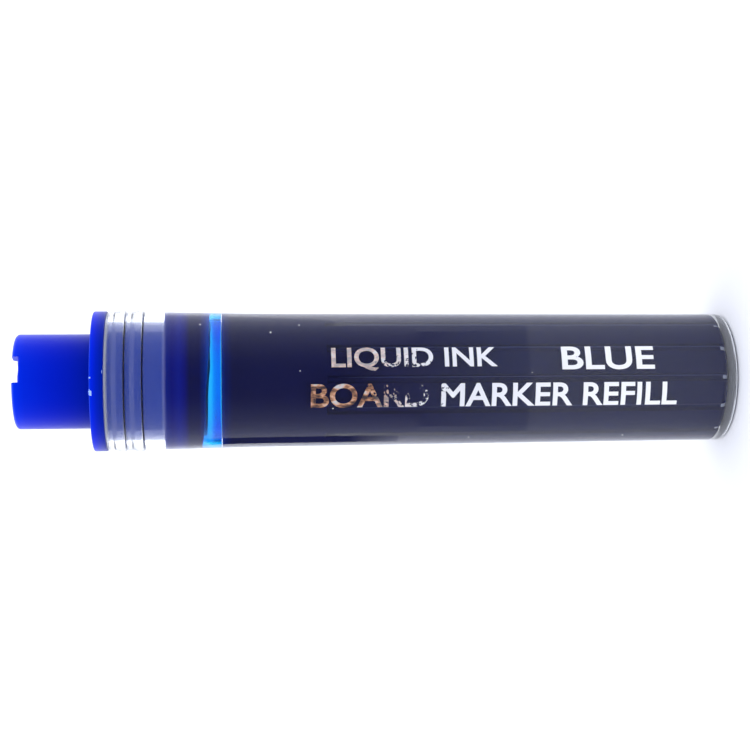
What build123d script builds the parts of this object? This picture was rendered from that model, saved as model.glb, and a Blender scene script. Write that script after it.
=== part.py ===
from build123d import *
import os

# Ink refill cartridge for a whiteboard marker, in millimetres.
# It stands on its closed base with its mouth up: +Z runs from the base to the spigot.
# A clear moulded tank is closed by a blue mouth plug, whose spigot goes into the marker.
# A ball seals the plug until the marker's feed pipe pushes it down into the tank.

os.makedirs("parts", exist_ok=True)

# ---- driving dimensions ------------------------------------------------------------------

tank_length = 68.2          # base to mouth face
mouth_outer_r = 7.5         # tank outside at the neck
neck_length = 6.2           # straight outside, below the mouth
neck_taper_length = 9.2     # steeper taper below the neck
neck_draft = 0.17           # what the steeper taper takes off the radius
barrel_draft = 0.23         # what the rest of the taper takes off, down to the base
wall = 0.95                 # tank wall
plug_bore_margin = 0.6      # straight bore past the end of the plug's skirt
floor_thickness = 1.0       # tank base
base_edge_r = 0.55          # outer rounding of the base
floor_edge_r = 0.6          # inner rounding of the base
mouth_chamfer = 0.2         # lead-in inside the tank's mouth

barb_height = 0.15          # how far a snap barb stands out of the neck
barb_length = 1.2           # steep side to the end of the slope, towards the mouth
barb_land = 0.7             # steep side to the start of the slope
first_barb_depth = 2.0      # mouth face down to the steep side of the upper barb
barb_pitch = 1.9            # steep side to steep side
barb_count = 2

rib_count = 12              # inner ribs along the tank
rib_width = 0.8
rib_height = 0.4
rib_top_depth = 22.7        # mouth face down to a rib's upper end
rib_run_out = 0.8           # sloping upper end of a rib

flange_overhang = 0.1       # plug flange past the tank's outside
flange_thickness = 1.45
flange_edge_r = 0.15
spigot_r = 5.13             # outside of the spigot
spigot_length = 8.25        # above the flange
spigot_edge_r = 0.4
spigot_root_r = 0.2
feed_bore_r = 3.4           # inside of the spigot, for the marker's feed pipe
feed_bore_chamfer = 0.3
notch_count = 2             # vents across the spigot's rim
notch_width = 2.8
notch_depth = 0.63
notch_angle = -74.4         # first notch, in degrees from +X

skirt_clearance = 0.1       # plug skirt to tank bore
skirt_wall = 1.1
skirt_length = 10.6         # below the flange
skirt_taper_length = 1.7    # lead-in at the skirt's end
skirt_taper = 0.5           # what the lead-in takes off the radius
seal_bead_depth = 6.2       # flange to the crest of the sealing bead
seal_bead_length = 0.5
land_depth = 8.05           # flange to the middle of the guide land
land_length = 1.3
land_clearance = 0.03       # guide land to tank bore

web_thickness = 1.3         # wall across the plug that carries the ball seat
web_rise = 0.55             # how far the web's top stands above the flange's top
seat_ledge = 0.88           # step between the feed bore and the ball seat
ball_clearance = 0.02       # ball to seat
seat_wall = 1.2
seat_length = 3.5           # seat tube below the web
seat_chamfer = 0.4          # at both ends of the seat
ball_rise = 0.1             # ball's top above the web's top
ball_rest_gap = 0.1         # ball to tank floor at the end of its drop

air_depth = 1.7             # air between the skirt's end and the ink

# ---- worked-out dimensions ---------------------------------------------------------------

neck_end_z = tank_length - neck_length
shoulder_z = neck_end_z - neck_taper_length
shoulder_outer_r = mouth_outer_r - neck_draft
base_outer_r = shoulder_outer_r - barrel_draft
bore_r = mouth_outer_r - wall
shoulder_bore_r = shoulder_outer_r - wall
base_bore_r = base_outer_r - wall
rib_top_z = tank_length - rib_top_depth
flange_r = mouth_outer_r + flange_overhang
flange_top_z = tank_length + flange_thickness
spigot_top_z = flange_top_z + spigot_length
skirt_r = bore_r - skirt_clearance
skirt_end_r = skirt_r - skirt_taper
skirt_end_z = tank_length - skirt_length
plug_bore_z = skirt_end_z - plug_bore_margin
skirt_bore_r = skirt_r - skirt_wall
ink_level_z = skirt_end_z - air_depth
seal_bead_z = tank_length - seal_bead_depth
land_z = tank_length - land_depth
land_r = bore_r - land_clearance
web_top_z = flange_top_z + web_rise
web_bottom_z = web_top_z - web_thickness
seat_bore_r = feed_bore_r - seat_ledge
ball_r = seat_bore_r - ball_clearance
seat_r = seat_bore_r + seat_wall
seat_end_z = web_bottom_z - seat_length
ball_z = web_top_z + ball_rise - ball_r
ball_drop = ball_z - ball_r - ball_rest_gap - floor_thickness


def inner_wall_r(z):
    """Radius of the tank's inner wall at a height below its shoulder."""
    return base_bore_r + z / shoulder_z * (shoulder_bore_r - base_bore_r)


# ---- the space inside the tank -----------------------------------------------------------

with BuildPart() as cavity:
    with BuildSketch(Plane.XZ):
        with BuildLine():
            Polyline(
                (0, floor_thickness),
                (inner_wall_r(floor_thickness), floor_thickness),
                (shoulder_bore_r, shoulder_z),
                (bore_r, plug_bore_z),
                (bore_r, tank_length - mouth_chamfer),
                (bore_r + mouth_chamfer, tank_length),
                (0, tank_length),
                close=True,
            )
        make_face()
    revolve(axis=Axis.Z)
    fillet(cavity.edges().group_by(Axis.Z)[0], radius=floor_edge_r)

# ---- one inner rib, on the +X side -------------------------------------------------------

rib_root = wall / 3         # how deep a rib starts inside the tank wall
rib_foot_r = inner_wall_r(floor_thickness)
rib_shoulder_z = rib_top_z - rib_run_out

with BuildPart() as rib:
    with BuildSketch(Plane.XZ):
        with BuildLine():
            Polyline(
                (rib_foot_r + rib_root, floor_thickness - rib_root),
                (rib_foot_r - rib_height, floor_thickness - rib_root),
                (inner_wall_r(rib_shoulder_z) - rib_height, rib_shoulder_z),
                (inner_wall_r(rib_top_z) + rib_root, rib_top_z + rib_root),
                close=True,
            )
        make_face()
    extrude(amount=rib_width / 2, both=True)

# ---- ink tank ----------------------------------------------------------------------------

with BuildPart() as barb:
    with BuildSketch(Plane.XZ):
        with BuildLine():
            Polyline(
                (bore_r + wall / 2, 0),
                (mouth_outer_r + barb_height, 0),
                (mouth_outer_r + barb_height, barb_land),
                (mouth_outer_r, barb_length),
                (bore_r + wall / 2, barb_length),
                close=True,
            )
        make_face()
    revolve(axis=Axis.Z)

with BuildPart() as ink_tank:
    with BuildSketch(Plane.XZ):
        with BuildLine():
            Polyline(
                (0, 0),
                (base_outer_r, 0),
                (shoulder_outer_r, shoulder_z),
                (mouth_outer_r, neck_end_z),
                (mouth_outer_r, tank_length),
                (0, tank_length),
                close=True,
            )
        make_face()
    revolve(axis=Axis.Z)
    fillet(ink_tank.edges().group_by(Axis.Z)[0], radius=base_edge_r)
    for number in range(barb_count):
        barb_z = tank_length - first_barb_depth - number * barb_pitch
        with Locations((0, 0, barb_z)):
            add(barb.part)
    add(cavity.part, mode=Mode.SUBTRACT)
    with PolarLocations(0, rib_count):
        add(rib.part)
ink_tank.part.label = "ink_tank"
export_step(ink_tank.part, "parts/ink_tank.step")

# ---- mouth plug --------------------------------------------------------------------------

with BuildPart() as mouth_plug:
    with BuildSketch(Plane.XZ):
        with BuildLine():
            Polyline(
                (0, web_bottom_z),
                (seat_r, web_bottom_z),
                (seat_r, seat_end_z),
                (0, seat_end_z),
                close=True,
            )
        make_face()
        with BuildLine():
            Polyline(
                (0, web_bottom_z),
                (skirt_bore_r, web_bottom_z),
                (skirt_bore_r, skirt_end_z),
                (skirt_end_r, skirt_end_z),
                (skirt_r, skirt_end_z + skirt_taper_length),
                (skirt_r, land_z - land_length / 2),
                (land_r, land_z - land_length / 4),
                (land_r, land_z + land_length / 4),
                (skirt_r, land_z + land_length / 2),
                (skirt_r, seal_bead_z - seal_bead_length / 2),
                (bore_r, seal_bead_z),
                (skirt_r, seal_bead_z + seal_bead_length / 2),
                (skirt_r, tank_length),
                (flange_r, tank_length),
                (flange_r, flange_top_z),
                (spigot_r, flange_top_z),
                (spigot_r, spigot_top_z),
                (0, spigot_top_z),
                close=True,
            )
        make_face()
    revolve(axis=Axis.Z)
    fillet(mouth_plug.edges().group_by(Axis.Z)[-1], radius=spigot_edge_r)
    flange_rim = mouth_plug.edges().filter_by(GeomType.CIRCLE).filter_by(
        lambda edge: abs(edge.radius - flange_r) < flange_edge_r
    )
    fillet(flange_rim, radius=flange_edge_r)
    spigot_root = mouth_plug.edges().filter_by(GeomType.CIRCLE).filter_by(
        lambda edge: abs(edge.radius - spigot_r) < spigot_root_r
    ).sort_by(Axis.Z)[0]
    fillet(spigot_root, radius=spigot_root_r)
    with BuildSketch(Plane.XZ):
        with BuildLine():
            Polyline(
                (0, seat_end_z),
                (seat_bore_r + seat_chamfer, seat_end_z),
                (seat_bore_r, seat_end_z + seat_chamfer),
                (seat_bore_r, web_top_z - seat_chamfer),
                (seat_bore_r + seat_chamfer, web_top_z),
                (feed_bore_r, web_top_z),
                (feed_bore_r, spigot_top_z - feed_bore_chamfer),
                (feed_bore_r + feed_bore_chamfer, spigot_top_z),
                (0, spigot_top_z),
                close=True,
            )
        make_face()
    revolve(axis=Axis.Z, mode=Mode.SUBTRACT)
    with BuildSketch(Plane.XY.offset(spigot_top_z - notch_depth)):
        with PolarLocations((feed_bore_r + spigot_r) / 2, notch_count, start_angle=notch_angle):
            Rectangle(2 * (spigot_r - feed_bore_r), notch_width)
    extrude(amount=2 * notch_depth, mode=Mode.SUBTRACT)
mouth_plug.part.label = "mouth_plug"
export_step(mouth_plug.part, "parts/mouth_plug.step")

# ---- seal ball ---------------------------------------------------------------------------

with BuildPart() as seal_ball:
    with Locations((0, 0, ball_z)):
        Sphere(ball_r)
seal_ball.part.label = "seal_ball"
export_step(seal_ball.part, "parts/seal_ball.step")

# ---- ink in the tank, and the ink held in the gap round the skirt ------------------------

with BuildPart() as ink:
    add(cavity.part)
    split(bisect_by=Plane.XY.offset(ink_level_z), keep=Keep.BOTTOM)
    with PolarLocations(0, rib_count):
        add(rib.part, mode=Mode.SUBTRACT)
ink.part.label = "ink"
export_step(ink.part, "parts/ink.step")

with BuildPart() as skirt_ink:
    with BuildSketch(Plane.XY.offset(skirt_end_z)):
        Circle(mouth_outer_r)
        Circle(skirt_end_r - skirt_wall / 4, mode=Mode.SUBTRACT)
    extrude(amount=seal_bead_z - skirt_end_z)
    add(cavity.part, mode=Mode.INTERSECT)
    add(mouth_plug.part, mode=Mode.SUBTRACT)
skirt_ink.part.label = "skirt_ink"
export_step(skirt_ink.part, "parts/skirt_ink.step")

print("overall length", round(spigot_top_z, 2), "ball drop", round(ball_drop, 2))
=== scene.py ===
import math
import bpy
from mathutils import Matrix, Vector


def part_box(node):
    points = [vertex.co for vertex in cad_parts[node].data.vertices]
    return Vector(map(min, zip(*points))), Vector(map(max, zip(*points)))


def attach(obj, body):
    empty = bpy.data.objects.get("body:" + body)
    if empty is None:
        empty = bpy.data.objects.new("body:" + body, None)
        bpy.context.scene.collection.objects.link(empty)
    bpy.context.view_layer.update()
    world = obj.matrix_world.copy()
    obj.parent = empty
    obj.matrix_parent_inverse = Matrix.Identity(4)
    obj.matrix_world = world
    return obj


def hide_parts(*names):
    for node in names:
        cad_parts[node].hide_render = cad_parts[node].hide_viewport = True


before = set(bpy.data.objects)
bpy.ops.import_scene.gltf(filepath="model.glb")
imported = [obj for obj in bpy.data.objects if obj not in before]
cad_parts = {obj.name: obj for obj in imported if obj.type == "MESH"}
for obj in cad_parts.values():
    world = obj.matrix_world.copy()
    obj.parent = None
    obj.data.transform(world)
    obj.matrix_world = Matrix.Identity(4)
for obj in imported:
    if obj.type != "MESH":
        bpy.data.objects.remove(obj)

mm = 0.001
print("frame loaded:", ", ".join(sorted(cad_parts)))
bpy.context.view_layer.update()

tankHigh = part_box("ink_tank")[1]
plugLow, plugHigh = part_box("mouth_plug")
inkLow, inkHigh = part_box("ink")
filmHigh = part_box("skirt_ink")[1]

sides = 192  # facets round every turned piece, a multiple of the rib count
wetOverlap = 0.03 * mm  # how far ink is drawn into the plastic it wets, so no air shows between them


def linearColour(hexText):
    channels = [int(hexText[i:i + 2], 16) / 255 for i in (0, 2, 4)]
    linear = [c / 12.92 if c <= 0.04045 else ((c + 0.055) / 1.055) ** 2.4 for c in channels]
    return (*linear, 1.0)


def addNode(tree, kind, settings=(), values=(), links=()):
    node = tree.nodes.new(kind)
    for name, value in dict(settings).items():
        setattr(node, name, value)
    for name, value in dict(values).items():
        node.inputs[name].default_value = value
    for name, source in dict(links).items():
        tree.links.new(source, node.inputs[name])
    return node


def newMaterial(name, values):
    material = bpy.data.materials.new(name)
    material.use_nodes = True
    shader = material.node_tree.nodes["Principled BSDF"]
    for socket, value in values.items():
        shader.inputs[socket].default_value = value
    return material, material.node_tree, shader


def heightRamp(tree, place, stops):
    # stops are (height in mm, hex colour), from the lowest up
    split = addNode(tree, "ShaderNodeSeparateXYZ", links={"Vector": place.outputs["Object"]})
    low, high = stops[0][0] * mm, stops[-1][0] * mm
    share = addNode(tree, "ShaderNodeMapRange", values={"From Min": low, "From Max": high},
                    links={"Value": split.outputs["Z"]})
    ramp = addNode(tree, "ShaderNodeValToRGB", links={"Fac": share.outputs["Result"]})
    fillRamp(ramp, [((height * mm - low) / (high - low), linearColour(colour)) for height, colour in stops])
    return ramp.outputs["Color"]


def fillRamp(ramp, stops):
    # stops are (place from 0 to 1, linear colour)
    elements = ramp.color_ramp.elements
    while len(elements) < len(stops):
        elements.new(0.5)
    for element, (place, colour) in zip(elements, stops):
        element.position = place
        element.color = colour


def deselectAll():
    if bpy.context.object and bpy.context.object.mode != "OBJECT":
        bpy.ops.object.mode_set(mode="OBJECT")
    bpy.ops.object.select_all(action="DESELECT")


outline = {"steps": 5, "most": 0.45, "guarded": 0.6, "guard": 0.12}


def roundedOutline(corners):
    # corners are (radius, height, rounding) in mm; each rounding becomes a short arc
    points = []
    closed = corners[0][:2] == corners[-1][:2]
    for i, (r, z, rounding) in enumerate(corners):
        here = Vector((r, z))
        if rounding == 0 or (i in (0, len(corners) - 1) and not closed):
            points.append(here)
            continue
        before = Vector(corners[i - 1][:2])
        after = Vector(corners[(i + 1) % len(corners)][:2])
        toBefore, toAfter = (before - here), (after - here)
        half = toBefore.angle(toAfter) / 2
        reach = min(rounding / math.tan(half), toBefore.length * outline["most"],
                    toAfter.length * outline["most"])
        radius = reach * math.tan(half)
        start = here + toBefore.normalized() * reach
        end = here + toAfter.normalized() * reach
        inward = (toBefore.normalized() + toAfter.normalized()).normalized()
        centre = here + inward * (radius / math.sin(half))
        for step in range(outline["steps"] + 1):
            along = start.lerp(end, step / outline["steps"]) - centre
            points.append(centre + along.normalized() * radius)
    guarded = [points[0]]
    for here, there in zip(points, points[1:]):
        span = (there - here).length
        if span > outline["guarded"]:  # a ring near each end keeps the shading of a long face flat
            guarded.append(here.lerp(there, outline["guard"] / span))
            guarded.append(here.lerp(there, 1 - outline["guard"] / span))
        guarded.append(there)
    return [(p.x * mm, p.y * mm) for p in guarded]


def turnedPiece(name, corners, closedRing=False):
    # rings are extruded along the outline, each scaled to its radius
    rings = roundedOutline(corners)
    deselectAll()
    r, z = rings[0]
    bpy.ops.mesh.primitive_circle_add(vertices=sides, radius=r, location=(0, 0, z),
                                      fill_type="NOTHING" if closedRing else "TRIFAN")
    piece = bpy.context.object
    piece.name = piece.data.name = name
    bpy.ops.object.transform_apply(location=True, rotation=True, scale=True)
    bpy.ops.object.mode_set(mode="EDIT")
    bpy.ops.mesh.select_mode(type="EDGE")
    bpy.ops.mesh.select_all(action="DESELECT")
    bpy.ops.mesh.select_non_manifold()
    for nextR, nextZ in rings[1:]:
        bpy.ops.mesh.extrude_region_move(TRANSFORM_OT_translate={"value": (0, 0, nextZ - z)})
        bpy.ops.transform.resize(value=(nextR / r, nextR / r, 1), center_override=(0, 0, nextZ))
        r, z = nextR, nextZ
    if not closedRing:
        bpy.ops.mesh.extrude_region_move(TRANSFORM_OT_translate={"value": (0, 0, 0)})
        bpy.ops.mesh.merge(type="CENTER")
    bpy.ops.mesh.select_all(action="SELECT")
    bpy.ops.mesh.remove_doubles(threshold=1e-6 * mm)
    bpy.ops.mesh.normals_make_consistent(inside=False)
    bpy.ops.object.mode_set(mode="OBJECT")
    return piece


def selectVertices(piece, wanted):
    deselectAll()
    piece.select_set(True)
    bpy.context.view_layer.objects.active = piece
    bpy.ops.object.mode_set(mode="EDIT")
    bpy.ops.mesh.select_mode(type="VERT")
    bpy.ops.mesh.select_all(action="DESELECT")
    bpy.ops.object.mode_set(mode="OBJECT")
    for vertex in piece.data.vertices:
        vertex.select = wanted(vertex.co)
    bpy.ops.object.mode_set(mode="EDIT")


def finish(piece, material, body, *nodes, smooth=32):
    deselectAll()
    piece.select_set(True)
    bpy.context.view_layer.objects.active = piece
    bpy.ops.object.shade_smooth_by_angle(angle=math.radians(smooth))
    piece.data.materials.clear()
    piece.data.materials.append(material)
    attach(piece, body)
    if nodes:
        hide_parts(*nodes)
    return piece


tank = {
    "baseRadius": 7.1, "shoulderRadius": 7.33, "neckRadius": 7.5,
    "shoulderHeight": 52.8, "neckHeight": 62.0, "height": tankHigh.z / mm,
    "wall": 0.95, "floor": inkLow.z / mm, "boreEnd": 57.0,
    "barbHeights": (64.3, 66.2), "barbRise": 0.15, "barbLand": 0.7, "barbLength": 1.2,
    "ribs": 12, "ribRise": 0.4, "ribTop": 45.5, "ribRunOut": 0.8, "ribReach": 0.75, "middle": 20,
    "dimple": 0.2, "dimpleRadius": 1.5, "dimpleEdge": 1.75,
    "clean": "F4F7FB", "barbFootShade": "0E1230", "dustSize": 0.035, "markDepth": 0.022,
}


def innerRadius(height):
    # radius of the tank's inner wall, in mm
    bore = tank["neckRadius"] - tank["wall"]
    shoulder = tank["shoulderRadius"] - tank["wall"]
    base = tank["baseRadius"] - tank["wall"]
    if height >= tank["boreEnd"]:
        return bore
    if height >= tank["shoulderHeight"]:
        share = (height - tank["shoulderHeight"]) / (tank["boreEnd"] - tank["shoulderHeight"])
        return shoulder + share * (bore - shoulder)
    return base + height / tank["shoulderHeight"] * (shoulder - base)


def clearPlastic():
    # crystal styrene, injection moulded and glossy: clear down the barrel, with soft flow ripples,
    # and faintly hazy where the tool's turning marks printed off round the neck; the haze at the base is
    # painted light
    material, tree, shader = newMaterial("clear moulded styrene", {
        "Roughness": 0.03, "IOR": 1.5,
    })
    t = tank
    place = addNode(tree, "ShaderNodeTexCoord")
    firstBarb, lastBarb = t["barbHeights"]
    tones = [(firstBarb - 0.5, t["clean"])]
    for height in t["barbHeights"]:  # painted shade: a dark line is painted into the foot of each barb
        tones += [(height - 0.17, t["clean"]), (height - 0.13, t["barbFootShade"]),
                  (height - 0.02, t["barbFootShade"]), (height + 0.03, t["clean"])]
    tree.links.new(heightRamp(tree, place, tones), shader.inputs["Base Color"])
    # painted light: the whitish haze at the base lightens the end where the floor's shade shows through
    clarity = heightRamp(tree, place, [
        (0.0, "ECECEC"), (t["floor"], "F2F2F2"), (t["floor"] + 0.5, "FFFFFF"),
        (t["neckHeight"] - 0.1, "FFFFFF"), (t["neckHeight"] - 0.03, "EEEEEE"),
        (t["neckHeight"] + 0.07, "EEEEEE"),
        (t["neckHeight"] + 0.14, "FFFFFF"), (t["height"] - 0.4, "FEFEFE"), (t["height"] - 0.15, "E0E0E0"),
    ])
    # and here and there a speck of dust is moulded in
    dust = addNode(tree, "ShaderNodeTexVoronoi", values={"Scale": 420.0},
                   links={"Vector": place.outputs["Object"]})
    clear = addNode(tree, "ShaderNodeMath", settings={"operation": "GREATER_THAN"},
                    values={1: t["dustSize"]}, links={0: dust.outputs["Distance"]})
    clarified = addNode(tree, "ShaderNodeMath", settings={"operation": "MULTIPLY"},
                        links={0: clarity, 1: clear.outputs["Value"]})
    tree.links.new(clarified.outputs["Value"], shader.inputs["Transmission Weight"])
    stretched = addNode(tree, "ShaderNodeMapping", values={"Scale": (1, 1, 0.12)},
                        links={"Vector": place.outputs["Object"]})
    ripple = addNode(tree, "ShaderNodeTexNoise", values={"Scale": 420.0, "Detail": 2.0},
                     links={"Vector": stretched.outputs["Vector"]})
    bump = addNode(tree, "ShaderNodeBump", values={"Strength": 0.05, "Distance": 0.02 * mm},
                   links={"Height": ripple.outputs["Fac"]})
    rings = addNode(tree, "ShaderNodeMapping", values={"Scale": (0, 0, 1)},
                    links={"Vector": place.outputs["Object"]})
    marks = addNode(tree, "ShaderNodeTexNoise", values={"Scale": 4600.0, "Detail": 2.0, "Roughness": 0.6},
                    links={"Vector": rings.outputs["Vector"]})
    onNeck = heightRamp(tree, place, [
        (t["neckHeight"] - 0.2, "000000"), (t["neckHeight"] + 0.2, "808080"), (firstBarb - 0.4, "A0A0A0"),
        (firstBarb - 0.1, "D8D8D8"), (lastBarb + 1.0, "D8D8D8"), (t["height"], "B8B8B8"),
    ])
    turned = addNode(tree, "ShaderNodeMath", settings={"operation": "MULTIPLY"},
                     links={0: marks.outputs["Fac"], 1: onNeck})
    grooves = addNode(tree, "ShaderNodeBump", values={"Strength": 1.0, "Distance": t["markDepth"] * mm},
                      links={"Height": turned.outputs["Value"], "Normal": bump.outputs["Normal"]})
    tree.links.new(grooves.outputs["Normal"], shader.inputs["Normal"])
    return material


def buildTank():
    t = tank
    corners = [(0.5, t["dimple"], 0), (t["dimpleRadius"], t["dimple"], 0.06), (t["dimpleEdge"], 0, 0.12),
               (t["baseRadius"], 0, 0.55),
               (t["shoulderRadius"], t["shoulderHeight"], 30), (t["neckRadius"], t["neckHeight"], 12)]
    for height in t["barbHeights"]:
        crest = t["neckRadius"] + t["barbRise"]
        corners += [(t["neckRadius"], height, 0.03), (crest, height, 0.04),
                    (crest, height + t["barbLand"], 0.4), (t["neckRadius"], height + t["barbLength"], 0.3)]
    bore = innerRadius(t["height"])
    top = t["height"] - 0.01  # a hair short of the flange, so the two faces don't coincide
    corners += [(t["neckRadius"], top, 0.12), (bore + 0.2, top, 0.05),
                (bore, top - 0.2, 0.05), (bore, t["boreEnd"], 8),
                (innerRadius(t["shoulderHeight"]), t["shoulderHeight"], 8)]
    ribTop, runOut = t["ribTop"], t["ribTop"] - t["ribRunOut"]
    corners += [(innerRadius(ribTop), ribTop, 0), (innerRadius(runOut), runOut, 0),
                (innerRadius(t["floor"]), t["floor"], 0.6), (0.5, t["floor"], 0)]
    piece = turnedPiece("inkTank", corners)
    raiseRibs(piece, innerRadius(runOut) * mm + 0.01 * mm)
    return finish(piece, clearPlastic(), "cartridge", "ink_tank")


def raiseRibs(piece, outerLimit):
    # three facets out of every sixteen are drawn in towards the axis, below the ribs' upper ends
    t = tank
    pitch, facet = math.tau / t["ribs"], math.tau / sides
    topHeight = (t["ribTop"] - t["ribRunOut"]) * mm + 0.02 * mm
    innerLimit = (innerRadius(0) - t["ribReach"]) * mm

    def onRib(place):
        radius = math.hypot(place.x, place.y)
        offRib = abs((math.atan2(place.x, place.y) + pitch / 2) % pitch - pitch / 2)
        low = t["floor"] * mm - wetOverlap * 1.5
        return offRib < facet * 1.5 and innerLimit < radius < outerLimit and low < place.z < topHeight

    selectVertices(piece, onRib)
    shrink = 1 - t["ribRise"] / innerRadius(t["middle"])
    bpy.ops.transform.resize(value=(shrink, shrink, 1), center_override=(0, 0, 0))
    bpy.ops.object.mode_set(mode="OBJECT")


inkTank = buildTank()
print("tank built:", len(inkTank.data.polygons), "faces")

plug = {
    "flangeLow": tankHigh.z / mm, "flangeHigh": tankHigh.z / mm + 1.45, "flangeRadius": 7.6,
    "spigotRadius": 5.13, "spigotTop": plugHigh.z / mm, "feedBore": 3.4,
    "skirtRadius": 6.45, "skirtBore": 5.35, "skirtEnd": plugLow.z / mm, "skirtEndRadius": 5.95,
    "skirtTaperTop": 59.3, "landHeight": 60.15, "landHalf": 0.65, "landRadius": 6.52,
    "beadHeight": filmHigh.z / mm, "beadHalf": 0.25, "beadRadius": 6.55,
    "webTop": 70.2, "webBottom": 68.9, "seatBore": 2.52, "seatRadius": 3.72, "seatEnd": 65.4,
    "notchWidth": 2.8, "notchDepth": 0.63, "notchAngle": -74.4, "notchReach": 1.6, "notchWall": 0.02,
    "gateRadius": 0.45, "gateDent": 0.16, "gateSpread": 2, "gateAbove": 0.3, "flashTaper": 0.6,
    # colours by height above the flange's underside: a painted glow, lighter towards the spigot's open tip,
    # and painted shade by the flange
    "tones": ((-10.6, "0034B0"), (-0.1, "0034B0"), (0.0, "000A86"), (0.7, "000CAC"), (1.2, "0012D0"),
              (1.45, "0030D4"), (1.7, "000098"), (3.8, "0000AA"), (6.2, "0008BA"), (8.4, "0016C8"),
              (9.4, "0022D8"), (9.7, "0048E0")),
    # slivers of flash: turn from the front in degrees, height, width and how far they stand out
    "flash": ((3.0, 69.6, 0.3, 0.1), (-9.5, 69.6, 0.4, 0.13), (-7.0, 69.6, 0.26, 0.08),
              (9.5, 69.6, 0.24, 0.05), (7.5, 68.3, 0.26, 0.08)),
}


def bluePlastic():
    # polypropylene coloured right through and moulded with a satin skin; light glowing through thin walls
    # and shade by the flange are painted into its colour
    material, tree, shader = newMaterial("blue moulded polypropylene", {
        "Roughness": 0.34, "IOR": 1.49, "Specular IOR Level": 0.3, "Specular Tint": (0.05, 0.5, 1.0, 1.0),
    })
    place = addNode(tree, "ShaderNodeTexCoord")
    # painted glow and shade: lighter towards the open tip, darker by the flange
    tones = [(plug["flangeLow"] + height, colour) for height, colour in plug["tones"]]
    tree.links.new(heightRamp(tree, place, tones), shader.inputs["Base Color"])
    grain = addNode(tree, "ShaderNodeTexNoise", values={"Scale": 2600.0, "Detail": 3.0},
                    links={"Vector": place.outputs["Object"]})
    bump = addNode(tree, "ShaderNodeBump", values={"Strength": 0.12, "Distance": 0.02 * mm},
                   links={"Height": grain.outputs["Fac"]})
    tree.links.new(bump.outputs["Normal"], shader.inputs["Normal"])
    return material


def buildPlug():
    p = plug
    start = (p["skirtBore"], p["skirtEnd"], 0)
    corners = [start, (p["skirtEndRadius"], p["skirtEnd"], 0.15),
               (p["skirtRadius"], p["skirtTaperTop"], 1.5),
               (p["skirtRadius"], p["landHeight"] - p["landHalf"], 0.3),
               (p["landRadius"], p["landHeight"] - p["landHalf"] / 2, 0.3),
               (p["landRadius"], p["landHeight"] + p["landHalf"] / 2, 0.3),
               (p["skirtRadius"], p["landHeight"] + p["landHalf"], 0.3),
               (p["skirtRadius"], p["beadHeight"] - p["beadHalf"], 0.1),
               (p["beadRadius"], p["beadHeight"], 0.1),
               (p["skirtRadius"], p["beadHeight"] + p["beadHalf"], 0.1),
               (p["skirtRadius"], p["flangeLow"], 0), (p["flangeRadius"], p["flangeLow"], 0.12),
               (p["flangeRadius"], p["flangeHigh"], 0.16), (p["spigotRadius"], p["flangeHigh"], 0.22),
               (p["spigotRadius"], p["spigotTop"], 0.42), (p["feedBore"], p["spigotTop"], 0.3),
               (p["feedBore"], p["webTop"], 0.25), (p["seatBore"] + 0.4, p["webTop"], 0.05),
               (p["seatBore"], p["webTop"] - 0.4, 0.1), (p["seatBore"], p["seatEnd"] + 0.4, 0.1),
               (p["seatBore"] + 0.4, p["seatEnd"], 0.05), (p["seatRadius"], p["seatEnd"], 0.15),
               (p["seatRadius"], p["webBottom"], 0.3), (p["skirtBore"], p["webBottom"], 0.3), start]
    piece = turnedPiece("mouthPlug", corners, closedRing=True)
    cutNotches(piece)
    raiseFlash(piece)
    finish(piece, bluePlastic(), "cartridge", "mouth_plug")
    # the slivers of flash beyond the flange's rim are painted pale, a painted glint
    piece.data.materials.append(palePlastic())
    beyond = (p["flangeRadius"] + 0.03) * mm
    for face in piece.data.polygons:
        onFlange = p["flangeLow"] * mm < face.center.z < (p["flangeHigh"] + 0.3) * mm
        face.material_index = int(onFlange and face.center.xy.length > beyond)
    return piece


def palePlastic():
    # polypropylene flash painted pale: a painted glint on the slivers at the flange's edges
    return newMaterial("polypropylene flash with painted glint", {
        "Base Color": linearColour("9CC0F4"), "Roughness": 0.6, "IOR": 1.49,
    })[0]


def raiseFlash(piece):
    # slivers of flash stand out from the flange's two edges
    p = plug
    for degrees, height, wide, proud in p["flash"]:
        turn = math.radians(degrees)
        centre = Vector((math.sin(turn), -math.cos(turn), 0)) * p["flangeRadius"] * mm
        centre.z = height * mm
        selectVertices(piece, lambda place: (place - centre).length < wide * mm)
        bpy.ops.mesh.select_mode(type="FACE")
        bpy.ops.mesh.extrude_region_shrink_fatten(TRANSFORM_OT_shrink_fatten={"value": proud * mm})
        bpy.ops.transform.resize(value=(p["flashTaper"],) * 3, center_override=centre)
        bpy.ops.object.mode_set(mode="OBJECT")


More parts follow.
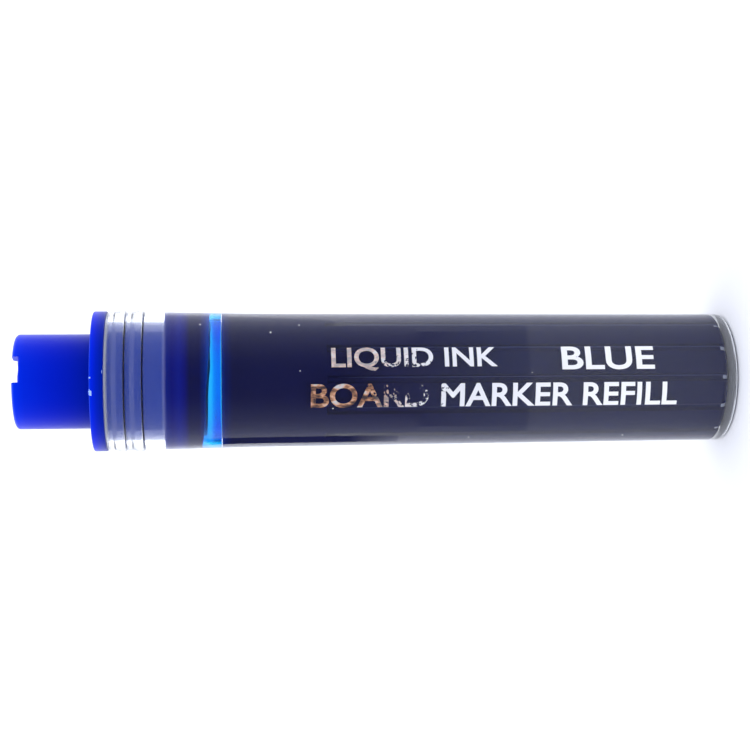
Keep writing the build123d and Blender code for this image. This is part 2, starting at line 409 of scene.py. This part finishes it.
def cutNotches(piece):
    # the rim is pressed down across two opposite vents
    p = plug
    angle = math.radians(p["notchAngle"])
    across = Vector((math.cos(angle), math.sin(angle), 0))
    beside = Vector((-math.sin(angle), math.cos(angle), 0))
    floorHeight = (p["spigotTop"] - p["notchReach"]) * mm

    half, thin = p["notchWidth"] / 2 * mm, p["notchWall"] * mm

    def inNotch(place):
        return place.z > floorHeight and abs(place.dot(beside)) < half + thin / 2 \
            and abs(place.dot(across)) > p["feedBore"] / 2 * mm

    # two close straight cuts on each side first: the notch's wall stands between them
    for place in (-half - thin, -half, half, half + thin):
        selectVertices(piece, lambda vertex: vertex.z > floorHeight)
        bpy.ops.mesh.select_mode(type="FACE")
        bpy.ops.mesh.bisect(plane_co=beside * place, plane_no=beside, threshold=1e-5 * mm)
        bpy.ops.object.mode_set(mode="OBJECT")
    selectVertices(piece, inNotch)
    squeeze = 1 - p["notchDepth"] / p["notchReach"]
    bpy.ops.transform.resize(value=(1, 1, squeeze), center_override=(0, 0, floorHeight))
    bpy.ops.object.mode_set(mode="OBJECT")
    # the gate was broken off in the front one, and left a dent in its floor
    gate = across * (p["feedBore"] + p["spigotRadius"]) / 2 * mm
    for vertex in piece.data.vertices:
        away = (vertex.co.xy - gate.xy).length / (p["gateRadius"] * mm)
        if away < p["gateSpread"] and vertex.co.z > floorHeight + p["gateAbove"] * mm:
            vertex.co.z -= p["gateDent"] * mm * (1 - away / p["gateSpread"])


mouthPlug = buildPlug()
print("plug built:", len(mouthPlug.data.polygons), "faces")


def ballSteel():
    # ground and polished stainless steel, with the faint lapping marks that dull its highlights
    material, tree, shader = newMaterial("polished stainless steel", {
        "Base Color": linearColour("C9CBCE"), "Metallic": 1.0,
    })
    place = addNode(tree, "ShaderNodeTexCoord")
    marks = addNode(tree, "ShaderNodeTexNoise", values={"Scale": 3000.0, "Detail": 4.0},
                    links={"Vector": place.outputs["Object"]})
    spread = addNode(tree, "ShaderNodeMapRange", values={"To Min": 0.07, "To Max": 0.2},
                     links={"Value": marks.outputs["Fac"]})
    tree.links.new(spread.outputs["Result"], shader.inputs["Roughness"])
    return material


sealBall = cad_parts["seal_ball"]
steel = ballSteel()
for holder in sealBall.material_slots:
    holder.material = steel
print("ball given its steel")

ink = {
    "level": inkHigh.z / mm, "meniscus": 0.3, "filmLow": 0.05,
    "filmTop": 0.07, "filmInside": 0.4,
    "lineTurn": math.radians(2), "lineWidth": 0.11, "footHeight": 0.6,
    "lineFrom": 44.0, "lineTo": 40.0, "lineStrength": 0.8, "lineColour": "46508C",
    # colours by height, and near the ink's level by depth under it: the brighter blue there is painted light
    # from the air space above
    "tones": ((0.0, "00104E"), (27.0, "00104E"), (37.0, "191B51")),
    "paintedLevelLight": ((1.0, "14184F"), (0.3, "001E74"), (0.05, "003498")),
    # the creeping edge at the wall: distance from the wall, depth under the level, rounding
    "edge": ((0.05, 0.02, 0), (0.25, 0.22, 0.15)), "meniscusWidth": 0.9, "meniscusRound": 1.0,
    "skirtInnerRadius": 5.8,
    # colours of the ink round the skirt, by height above the skirt's end
    "skirtTones": ((-0.2, "0050C0"), (0.15, "003096"), (0.7, "0C1258"), (1.7, "0C1254"), (2.2, "0A1282"),
                   (2.8, "0A1C9E"), (3.3, "0A1890"), (3.6, "0A1488"), (4.2, "0A2495"), (4.4, "1030B0")),
}


def wetInk():
    # marker ink seen through the wall it wets: nearly black blue, with only the small step in refraction
    # from plastic to ink, and brighter near its upper edge, where painted light stands for the light coming
    # down from the air space
    material, tree, shader = newMaterial("blue ink against plastic", {"Roughness": 0.25, "IOR": 1.1})
    place = addNode(tree, "ShaderNodeTexCoord")
    # painted light: brighter blue just under the ink's level
    upper = [(ink["level"] - depth, colour) for depth, colour in ink["paintedLevelLight"]]
    tone = heightRamp(tree, place, [*ink["tones"], *upper])
    # a hairline of light runs down beside each rib
    split = addNode(tree, "ShaderNodeSeparateXYZ", links={"Vector": place.outputs["Object"]})
    turn = addNode(tree, "ShaderNodeMath", settings={"operation": "ARCTAN2"},
                   links={0: split.outputs["Y"], 1: split.outputs["X"]})
    pitch = math.tau / tank["ribs"]
    beside = addNode(tree, "ShaderNodeMath", settings={"operation": "SUBTRACT"},
                     values={1: ink["lineTurn"] - pitch / 2 + math.tau}, links={0: turn.outputs["Value"]})
    within = addNode(tree, "ShaderNodeMath", settings={"operation": "FLOORED_MODULO"}, values={1: pitch},
                     links={0: beside.outputs["Value"]})
    onLine = addNode(tree, "ShaderNodeMath", settings={"operation": "COMPARE"},
                     values={1: pitch / 2, 2: ink["lineWidth"] / 2 / innerRadius(tank["middle"])},
                     links={0: within.outputs["Value"]})
    share = addNode(tree, "ShaderNodeMapRange", values={
        "From Min": ink["lineFrom"] * mm, "From Max": ink["lineTo"] * mm, "To Max": ink["lineStrength"]},
        links={"Value": split.outputs["Z"]})
    lit = addNode(tree, "ShaderNodeMath", settings={"operation": "MULTIPLY"},
                  links={0: onLine.outputs["Value"], 1: share.outputs["Result"]})
    mixed = addNode(tree, "ShaderNodeMix", settings={"data_type": "RGBA"},
                    links={"Factor": lit.outputs["Value"], "A": tone})
    mixed.inputs["B"].default_value = linearColour(ink["lineColour"])
    tree.links.new(mixed.outputs["Result"], shader.inputs["Base Color"])
    return material


def ribFoot():
    # where ink draws back from a rib's foot the clear corner lights up: pale, slightly blue
    return newMaterial("light at a rib's foot", {
        "Base Color": linearColour("B9BED0"), "Roughness": 0.4, "IOR": 1.1,
    })[0]


def freeInk():
    # the open surface of the ink: black-blue and mirror smooth
    return newMaterial("open surface of blue ink", {
        "Base Color": linearColour("0C1238"), "Roughness": 0.02, "IOR": 1.36,
    })[0]


def buildInk():
    t = tank
    level, over = ink["level"], wetOverlap / mm
    ribTop, runOut = t["ribTop"], t["ribTop"] - t["ribRunOut"]
    floorLevel = t["floor"] - over
    corners = [(0.5, floorLevel, 0), (innerRadius(t["floor"]) + over, floorLevel, 0.6),
               (innerRadius(runOut) + over, runOut, 0), (innerRadius(ribTop) + over, ribTop, 0),
               (innerRadius(t["shoulderHeight"]) + over, t["shoulderHeight"], 8),
               (innerRadius(level) + over, level, 0)]
    corners += [(innerRadius(level) - off, level - depth, rounding) for off, depth, rounding in ink["edge"]]
    lowest = level - ink["meniscus"]
    corners += [(innerRadius(level) - ink["meniscusWidth"], lowest, ink["meniscusRound"]), (0.5, lowest, 0)]
    piece = turnedPiece("inkFill", corners)
    raiseRibs(piece, innerRadius(runOut) * mm + 2 * wetOverlap)
    finish(piece, wetInk(), "cartridge", "ink")
    piece.data.materials.append(freeInk())
    piece.data.materials.append(ribFoot())
    pitch, facet = math.tau / t["ribs"], math.tau / sides
    for face in piece.data.polygons:
        centre = face.center
        offRib = abs((math.atan2(centre.x, centre.y) + pitch / 2) % pitch - pitch / 2)
        atFoot = centre.z < (floorLevel + ink["footHeight"]) * mm and face.normal.z > -0.9
        if face.normal.z > 0.3:
            face.material_index = 1
        elif atFoot and offRib < facet:
            face.material_index = 2
    return piece


inkFill = buildInk()


def filmInk():
    # ink held in the gap round the skirt: thin over the guide land, thick and near black at the taper
    material, tree, shader = newMaterial("blue ink in the skirt gap", {"Roughness": 0.3, "IOR": 1.1})
    place = addNode(tree, "ShaderNodeTexCoord")
    tones = [(plug["skirtEnd"] + height, colour) for height, colour in ink["skirtTones"]]
    tree.links.new(heightRamp(tree, place, tones), shader.inputs["Base Color"])
    return material


def buildFilm():
    low, high, inner = plug["skirtEnd"], filmHigh.z / mm, ink["skirtInnerRadius"]
    outer = innerRadius(high) + wetOverlap / mm
    start = (inner, low - ink["filmLow"], 0)
    corners = [start, (outer, low - ink["filmLow"], 0), (outer, high, 0),
               (outer - ink["filmTop"], high, 0), (inner, low + ink["filmInside"], 0), start]
    piece = turnedPiece("skirtInk", corners, closedRing=True)
    sagEdge(piece, (low + sag["reach"]) * mm)
    return finish(piece, filmInk(), "cartridge", "skirt_ink")


# the ink hanging at the skirt's end creeps lower on one side, in uneven scallops
sag = {"lean": 0.42, "leanSquared": -0.12, "scallop": 0.04, "fine": 0.03, "all": 0.06, "reach": 0.2}


def sagEdge(piece, below):
    for vertex in piece.data.vertices:
        if vertex.co.z < below:
            turn = math.atan2(vertex.co.y, vertex.co.x)
            lean = math.cos(turn)
            creep = sag["lean"] * lean + sag["leanSquared"] * lean ** 2
            creep += sag["scallop"] * math.sin(5 * turn + 1) + sag["fine"] * math.sin(11 * turn)
            vertex.co.z -= (creep + sag["all"]) * mm


skirtInk = buildFilm()
print("ink built")


def wallInk():
    # a film of ink left on the inner wall of the air space: it passes azure light
    material, tree, shader = newMaterial("ink film on the wall", {
        "Base Color": linearColour("FFFFFF"), "Roughness": 0.02, "IOR": 1.04, "Transmission Weight": 1.0,
    })
    # at 42000 to the metre, a tenth of a millimetre takes all the red and some of the green
    absorb = addNode(tree, "ShaderNodeVolumeAbsorption", values={
        "Color": (0.0, 0.8, 0.964, 1.0), "Density": 42000.0})
    tree.links.new(absorb.outputs["Volume"], tree.nodes["Material Output"].inputs["Volume"])
    return material


wallStain = {
    "soak": 0.048, "clearLine": 0.07, "pastSkirt": 0.5,
    # how far the film stands off the wall, from the skirt down to the clear line over the meniscus
    "depths": ((57.3, 0.015), (56.95, 0.03), (56.7, 0.055), (56.4, 0.072), (56.1, 0.07)), "lowDepth": 0.05,
}


def buildWallFilm():
    w = wallStain
    low, high = ink["level"] + w["clearLine"], plug["skirtEnd"] + w["pastSkirt"]
    corners = [(innerRadius(low) + w["soak"], low, 0), (innerRadius(high) + w["soak"], high, 0)]
    for height, depth in ((high, w["depths"][0][1]), *w["depths"], (low, w["lowDepth"])):
        corners.append((innerRadius(height) - depth, height, 0))
    corners.append(corners[0])
    piece = turnedPiece("wallFilm", corners, closedRing=True)
    finish(piece, wallInk(), "cartridge")
    return piece


wallFilm = buildWallFilm()
print("wall film built")

printing = {
    "paintedReflection": ((0.36, "4A3E42"), (0.46, "A8765A"), (0.54, "E6B08A"), (0.62, "DCD8D6")),
    "reflectionFrom": 35.0, "reflectionTo": 40.0, "upperLine": 1.6, "lowerLine": -0.6, "upperShare": 0.55,
    "bright": "F4F4F6", "rubPlace": (-0.4, -7.2, 36.2), "rubSize": (2.3, 3.0, 3.4),
    "rubGrain": 4.0, "rubLimit": 2.95,
    "capHeight": 2.62, "lift": 0.012, "thickness": 0.02, "weight": 0.019, "slices": 14,
    "lines": (
        # words, where the line starts below the mouth plug, where it sits round the tank, its length
        ("LIQUID INK", 44.4, 2.2, 17.8), ("BLUE", 19.6, 2.2, 10.2),
        ("BOARD MARKER REFILL", 46.6, -1.75, 39.7),
    ),
}


def foilPrint():
    # hot-stamped silver foil: bright and slightly satin, with a painted reflection, mottled tan and dark,
    # over part of it, and rubbed off in flakes where fingers grip it
    material, tree, shader = newMaterial("hot-stamped silver foil", {"Metallic": 0.55, "Roughness": 0.38})
    f = printing
    place = addNode(tree, "ShaderNodeTexCoord")
    split = addNode(tree, "ShaderNodeSeparateXYZ", links={"Vector": place.outputs["Object"]})
    banded = addNode(tree, "ShaderNodeMapping", values={"Scale": (1.0, 1.0, 0.45)},
                     links={"Vector": place.outputs["Object"]})
    mottle = addNode(tree, "ShaderNodeTexNoise", values={"Scale": 1500.0, "Detail": 3.0, "Roughness": 0.6},
                     links={"Vector": banded.outputs["Vector"]})
    # painted reflection: mottled tan and dark, laid over the letters between two heights and towards one
    # side
    paintedReflection = addNode(tree, "ShaderNodeValToRGB", links={"Fac": mottle.outputs["Fac"]})
    fillRamp(paintedReflection, [(position, linearColour(colour)) for position, colour in f["paintedReflection"]])
    share = addNode(tree, "ShaderNodeMapRange",
                    values={"From Min": f["reflectionFrom"] * mm, "From Max": f["reflectionTo"] * mm},
                    links={"Value": split.outputs["Z"]})
    lowerLine = addNode(tree, "ShaderNodeMapRange", values={
        "From Min": f["upperLine"] * mm, "From Max": f["lowerLine"] * mm, "To Min": f["upperShare"]},
        links={"Value": split.outputs["X"]})
    reflected = addNode(tree, "ShaderNodeMath", settings={"operation": "MULTIPLY"},
                        links={0: share.outputs["Result"], 1: lowerLine.outputs["Result"]})
    mixed = addNode(tree, "ShaderNodeMix", settings={"data_type": "RGBA"},
                    links={"Factor": reflected.outputs["Value"], "B": paintedReflection.outputs["Color"]})
    mixed.inputs["A"].default_value = linearColour(f["bright"])
    tree.links.new(mixed.outputs["Result"], shader.inputs["Base Color"])
    nearby = addNode(tree, "ShaderNodeVectorMath", settings={"operation": "SUBTRACT"},
                     links={0: place.outputs["Object"]})
    nearby.inputs[1].default_value = [v * mm for v in f["rubPlace"]]
    scaled = addNode(tree, "ShaderNodeVectorMath", settings={"operation": "DIVIDE"},
                     links={0: nearby.outputs["Vector"]})
    scaled.inputs[1].default_value = [v * mm for v in f["rubSize"]]
    away = addNode(tree, "ShaderNodeVectorMath", settings={"operation": "LENGTH"},
                   links={0: scaled.outputs["Vector"]})
    flakes = addNode(tree, "ShaderNodeTexNoise", values={"Scale": 2800.0, "Detail": 4.0, "Roughness": 0.6},
                     links={"Vector": place.outputs["Object"]})
    held = addNode(tree, "ShaderNodeMath", settings={"operation": "MULTIPLY_ADD"}, values={1: f["rubGrain"]},
                   links={0: flakes.outputs["Fac"], 2: away.outputs["Value"]})
    kept = addNode(tree, "ShaderNodeMath", settings={"operation": "GREATER_THAN"}, values={1: f["rubLimit"]},
                   links={0: held.outputs["Value"]})
    tree.links.new(kept.outputs["Value"], shader.inputs["Alpha"])
    return material


def buildLine(words, startHeight, offset, length):
    # a line of letters, cut into slices and bent round the tank
    f, t = printing, tank
    deselectAll()
    bpy.ops.object.text_add(location=(0, 0, 0))
    line = bpy.context.object
    line.data.body = words
    line.data.size = 1.0
    line.data.offset = f["weight"]
    line.data.resolution_u = 6
    bpy.ops.object.convert(target="MESH")
    line = bpy.context.object
    xs = [v.co.x for v in line.data.vertices]
    ys = [v.co.y for v in line.data.vertices]
    left, base, top = min(xs), min(ys), max(ys)
    wide, tall = length * mm / (max(xs) - left), f["capHeight"] * mm / (top - base)
    bpy.ops.object.mode_set(mode="EDIT")
    bpy.ops.mesh.select_all(action="SELECT")
    bpy.ops.mesh.dissolve_limited(angle_limit=math.radians(0.1))
    bpy.ops.mesh.quads_convert_to_tris()
    for cut in range(1, f["slices"]):
        bpy.ops.mesh.select_all(action="SELECT")
        bpy.ops.mesh.bisect(plane_co=(0, base + (top - base) * cut / f["slices"], 0), plane_no=(0, 1, 0))
    bpy.ops.object.mode_set(mode="OBJECT")
    for vertex in line.data.vertices:
        height = startHeight * mm - (vertex.co.x - left) * wide
        taper = height / (t["shoulderHeight"] * mm) * (t["shoulderRadius"] - t["baseRadius"])
        radius = (t["baseRadius"] + taper + f["lift"]) * mm
        angle = (offset * mm - f["capHeight"] * mm / 2 + (vertex.co.y - base) * tall) / radius
        vertex.co = (radius * math.sin(angle), -radius * math.cos(angle), height)
    line.name = line.data.name = "print" + words.title().replace(" ", "")
    solid = line.modifiers.new("thickness", "SOLIDIFY")
    solid.thickness = f["thickness"] * mm
    solid.offset = 1.0
    bpy.ops.object.modifier_apply(modifier=solid.name)
    return line


foil = foilPrint()
for words, startHeight, offset, length in printing["lines"]:
    line = buildLine(words, startHeight, offset, length)
    finish(line, foil, "cartridge", smooth=20)
print("printing built")

studio = {
    "reach": 1.6, "wallPlace": 0.55, "bend": 0.3, "worldStrength": 1.15, "daylight": (0.92, 0.96, 1.1),
    "bendSteps": 24, "screenRadius": 0.26, "screenHeight": 0.15, "screenSpan": 105,
    # how bright the gradient card is, by turn from the front in degrees
    "screenLevels": ((0, 0.13), (20, 0.14), (35, 0.2), (53, 0.36), (74, 0.6), (90, 0.8),
                     (105, 1.0), (120, 1.0)),
    "cardLow": 0.0005, "flagRadius": 0.3, "flagHigh": 0.056, "flagTurns": (-138, -113),
    "flagFade": 0.016, "flagLevel": 0.06,
    "topFade": 0.7, "screenFade": 0.03,
    "footInset": 0.002, "footLevel": 0.46, "footRadius": 0.11, "footBright": 0.95,
    # softboxes, in metres and watts
    "overhead": {"place": (0.0, 0.15, 0.75), "size": (0.6, 0.5), "power": 1.2},
    "side": {"place": (0.42, 0.28, 0.12), "size": (0.5, 0.5), "power": 0.9},
}


def stagePaint():
    return newMaterial("matt white paper", {
        "Base Color": linearColour("F6F6F6"), "Roughness": 0.85, "Specular IOR Level": 0.2,
    })[0]


def buildSweep():
    deselectAll()
    reach, wall, bend = studio["reach"], studio["wallPlace"], studio["bend"]
    bpy.ops.mesh.primitive_plane_add(size=2 * reach, location=(0, wall - bend - reach, 0))
    sweep = bpy.context.object
    sweep.name = sweep.data.name = "paperSweep"
    bpy.ops.object.transform_apply(location=True, rotation=True, scale=True)
    bpy.ops.object.mode_set(mode="EDIT")
    bpy.ops.mesh.select_mode(type="EDGE")
    bpy.ops.mesh.select_all(action="DESELECT")
    bpy.ops.object.mode_set(mode="OBJECT")
    back = wall - bend - 0.001
    for edge in sweep.data.edges:
        edge.select = all(sweep.data.vertices[i].co.y > back for i in edge.vertices)
    bpy.ops.object.mode_set(mode="EDIT")
    lastY, lastZ = wall - bend, 0.0
    for step in range(1, studio["bendSteps"] + 1):
        turn = math.pi / 2 * step / studio["bendSteps"]
        y, z = wall - bend + bend * math.sin(turn), bend - bend * math.cos(turn)
        bpy.ops.mesh.extrude_region_move(TRANSFORM_OT_translate={"value": (0, y - lastY, z - lastZ)})
        lastY, lastZ = y, z
    bpy.ops.mesh.extrude_region_move(TRANSFORM_OT_translate={"value": (0, 0, reach)})
    bpy.ops.object.mode_set(mode="OBJECT")
    bpy.ops.object.shade_smooth()
    sweep.data.materials.append(stagePaint())


def glowingCard(name):
    material = bpy.data.materials.new(name)
    material.use_nodes = True
    tree = material.node_tree
    tree.nodes.remove(tree.nodes["Principled BSDF"])
    place = addNode(tree, "ShaderNodeTexCoord")
    return material, tree, addNode(tree, "ShaderNodeSeparateXYZ", links={"Vector": place.outputs["Object"]})


def lightCard(tree, level):
    # daylight at this level, given off by the card
    tint = addNode(tree, "ShaderNodeVectorMath", settings={"operation": "SCALE"}, links={"Scale": level})
    tint.inputs[0].default_value = studio["daylight"]
    glow = addNode(tree, "ShaderNodeEmission", links={"Color": tint.outputs["Vector"]})
    tree.links.new(glow.outputs["Emission"], tree.nodes["Material Output"].inputs["Surface"])


def screenGlow():
    # a grey gradient card round the front, dark in the middle, seen only in the gloss
    material, tree, split = glowingCard("gradient card")
    aside = addNode(tree, "ShaderNodeMath", settings={"operation": "ABSOLUTE"},
                    links={0: split.outputs["X"]})
    share = addNode(tree, "ShaderNodeMath", settings={"operation": "DIVIDE"},
                    values={1: studio["screenRadius"]}, links={0: aside.outputs["Value"]})
    turn = addNode(tree, "ShaderNodeMath", settings={"operation": "ARCSINE"},
                   links={0: share.outputs["Value"]})
    front = addNode(tree, "ShaderNodeMath", settings={"operation": "GREATER_THAN"}, values={1: 0.0},
                    links={0: split.outputs["Y"]})
    mirrored = addNode(tree, "ShaderNodeMath", settings={"operation": "SUBTRACT"}, values={0: math.pi},
                       links={1: turn.outputs["Value"]})
    chosen = addNode(tree, "ShaderNodeMix", settings={"data_type": "FLOAT"},
                     links={"Factor": front.outputs["Value"], "A": turn.outputs["Value"],
                            "B": mirrored.outputs["Value"]})
    ramp = addNode(tree, "ShaderNodeValToRGB")
    widest = studio["screenLevels"][-1][0]
    scaled = addNode(tree, "ShaderNodeMapRange", values={"From Max": math.radians(widest)},
                     links={"Value": chosen.outputs["Result"]})
    tree.links.new(scaled.outputs["Result"], ramp.inputs["Fac"])
    fillRamp(ramp, [(degrees / widest, (level, level, level * 1.03, 1))
                    for degrees, level in studio["screenLevels"]])
    # it pales to white at its top, and its foot brightens towards the object like a floor does
    topFade = addNode(tree, "ShaderNodeMapRange", values={
        "From Min": studio["screenHeight"] * studio["topFade"], "From Max": studio["screenHeight"]},
        links={"Value": split.outputs["Z"]})
    lowFade = addNode(tree, "ShaderNodeMapRange", values={
        "From Min": studio["screenFade"], "From Max": 0.0, "To Max": studio["footLevel"]},
        links={"Value": split.outputs["Z"]})
    flat = addNode(tree, "ShaderNodeCombineXYZ", links={"X": split.outputs["X"], "Y": split.outputs["Y"]})
    reach = addNode(tree, "ShaderNodeVectorMath", settings={"operation": "LENGTH"},
                    links={0: flat.outputs["Vector"]})
    footFade = addNode(tree, "ShaderNodeMapRange", values={
        "From Min": studio["screenRadius"] - studio["footInset"], "From Max": studio["footRadius"],
        "To Max": studio["footBright"] - studio["footLevel"]}, links={"Value": reach.outputs["Value"]})
    low = addNode(tree, "ShaderNodeMath", settings={"operation": "ADD"},
                  links={0: lowFade.outputs["Result"], 1: footFade.outputs["Result"]})
    either = addNode(tree, "ShaderNodeMath", settings={"operation": "MAXIMUM"},
                     links={0: low.outputs["Value"], 1: topFade.outputs["Result"]})
    level = addNode(tree, "ShaderNodeMath", settings={"operation": "MAXIMUM"},
                    links={0: ramp.outputs["Color"], 1: either.outputs["Value"]})
    lightCard(tree, level.outputs["Value"])
    return material


def darkGlow():
    # a dark card that pales to its foot: it cuts a dark line into the gloss
    material, tree, split = glowingCard("dark card")
    level = addNode(tree, "ShaderNodeMapRange", values={
        "From Min": studio["flagFade"], "To Min": studio["flagLevel"], "To Max": 1.0, "From Max": 0.0},
        links={"Value": split.outputs["Z"]})
    lightCard(tree, level.outputs["Result"])
    return material


def ringCard(name, radius, low, high, keep, material, footRadius=None):
    # part of a tube round the object, kept where its turn from the front is in range; gloss sees it,
    # nothing else does
    deselectAll()
    bpy.ops.mesh.primitive_cylinder_add(vertices=120, radius=radius, depth=high - low,
                                        end_fill_type="NOTHING", location=(0, 0, (low + high) / 2))
    card = bpy.context.object
    card.name = card.data.name = name
    bpy.ops.object.transform_apply(location=True, rotation=True, scale=True)
    bpy.ops.object.mode_set(mode="EDIT")
    bpy.ops.mesh.select_mode(type="FACE")
    bpy.ops.mesh.select_all(action="DESELECT")
    bpy.ops.object.mode_set(mode="OBJECT")
    for face in card.data.polygons:
        turn = math.degrees(math.atan2(face.center.x, -face.center.y))
        face.select = not keep[0] < turn < keep[1]
    bpy.ops.object.mode_set(mode="EDIT")
    bpy.ops.mesh.delete(type="FACE")
    if footRadius:
        bpy.ops.mesh.select_mode(type="EDGE")
        bpy.ops.mesh.select_all(action="DESELECT")
        bpy.ops.object.mode_set(mode="OBJECT")
        for edge in card.data.edges:
            edge.select = all(card.data.vertices[i].co.z < low + 0.0001 for i in edge.vertices)
        bpy.ops.object.mode_set(mode="EDIT")
        bpy.ops.mesh.extrude_region_move(TRANSFORM_OT_translate={"value": (0, 0, 0)})
        inward = footRadius / radius
        bpy.ops.transform.resize(value=(inward, inward, 1), center_override=(0, 0, 0))
    bpy.ops.object.mode_set(mode="OBJECT")
    card.data.materials.append(material)
    card.visible_camera = card.visible_diffuse = False
    card.visible_transmission = card.visible_shadow = False


buildSweep()
ringCard("gradientCard", studio["screenRadius"], studio["cardLow"], studio["screenHeight"],
         (-studio["screenSpan"], studio["screenSpan"]), screenGlow(), studio["footRadius"])
ringCard("darkCard", studio["flagRadius"], studio["cardLow"], studio["flagHigh"],
         studio["flagTurns"], darkGlow())

world = bpy.data.worlds.new("white studio")
bpy.context.scene.world = world
world.use_nodes = True
sky = world.node_tree.nodes["Background"]
sky.inputs["Color"].default_value = (*studio["daylight"], 1)
sky.inputs["Strength"].default_value = studio["worldStrength"]


def addSoftbox(name, settings, place):
    box = bpy.data.lights.new(name, "AREA")
    box.shape = "RECTANGLE"
    box.size, box.size_y = settings["size"]
    box.energy = settings["power"]
    lamp = bpy.data.objects.new(name, box)
    lamp.location = place
    bpy.context.scene.collection.objects.link(lamp)
    return lamp


addSoftbox("overheadSoftbox", studio["overhead"], studio["overhead"]["place"])
for side in (-1, 1):
    x, y, z = studio["side"]["place"]
    lamp = addSoftbox("sideSoftbox", studio["side"], (x * side, y, z))
    lamp.rotation_euler = (-lamp.location).to_track_quat("-Z", "Y").to_euler()
    lamp.visible_glossy = False
print("stage and lights built")

shot = {
    "distance": 162.9 * mm, "height": ink["level"] * mm, "down": 5.90, "roll": -0.42,
    "focal": 1480 / 750 * 36, "shift": 0.0058,
}


def buildCamera():
    view = bpy.data.cameras.new("camera")
    view.lens = shot["focal"]
    view.sensor_width = 36
    view.clip_start = 0.01
    view.shift_y = shot["shift"]
    holder = bpy.data.objects.new("camera", view)
    bpy.context.scene.collection.objects.link(holder)
    down = math.radians(shot["down"])
    # the picture is turned on its side: its right is towards the base, its top towards +X
    right = Vector((0, -math.sin(down), -math.cos(down)))
    up = Vector((1, 0, 0))
    back = Vector((0, -math.cos(down), math.sin(down)))
    turn = Matrix((right, up, back)).transposed() @ Matrix.Rotation(math.radians(shot["roll"]), 3, "Z")
    holder.matrix_world = Matrix.Translation((0, -shot["distance"], shot["height"])) @ turn.to_4x4()
    bpy.context.scene.camera = holder


buildCamera()
bpy.context.scene.view_settings.view_transform = "Standard"

print("scene ready")
